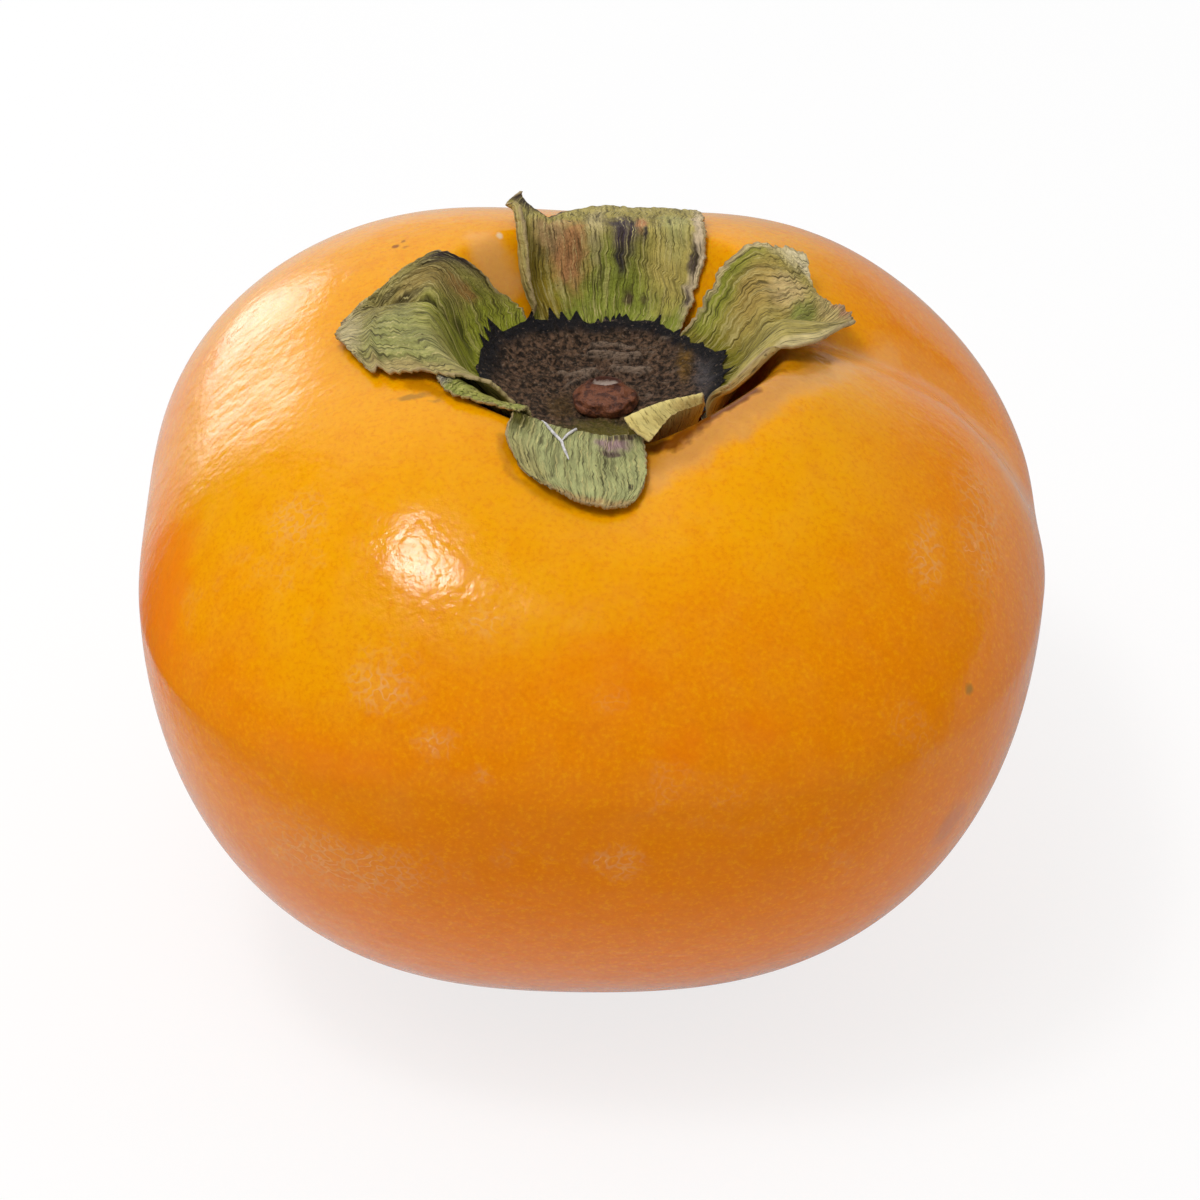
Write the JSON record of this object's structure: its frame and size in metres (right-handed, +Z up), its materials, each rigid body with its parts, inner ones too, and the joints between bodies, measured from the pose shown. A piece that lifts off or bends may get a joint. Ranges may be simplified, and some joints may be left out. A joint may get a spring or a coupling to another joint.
{
  "type": "persimmon",
  "caption": "Ripe, squat, four-lobed persimmon with a dried leafy calyx and a stub of stem in the hollow of its top, resting on its flat blossom end.",
  "frame": {"origin": "centre of the small flat spot at the blossom end, which the fruit rests on", "axes": "+Z up along the fruit's core towards the stem, +X to the right and +Y away from a viewer who faces the short folded sepal; the four furrows lie along X and Y"},
  "size_m": [0.0779, 0.078, 0.0623],
  "materials": {
    "skin": "satin",
    "cork": "matte",
    "stem": "satin",
    "sepal": "matte"
  },
  "bodies": {
    "root": {"fruit": "skin", "calyx_disc": "cork", "stem_stub": "stem", "sepal_left": "sepal", "sepal_back": "sepal", "sepal_right": "sepal", "sepal_front": "sepal"}
  },
  "joints": []
}
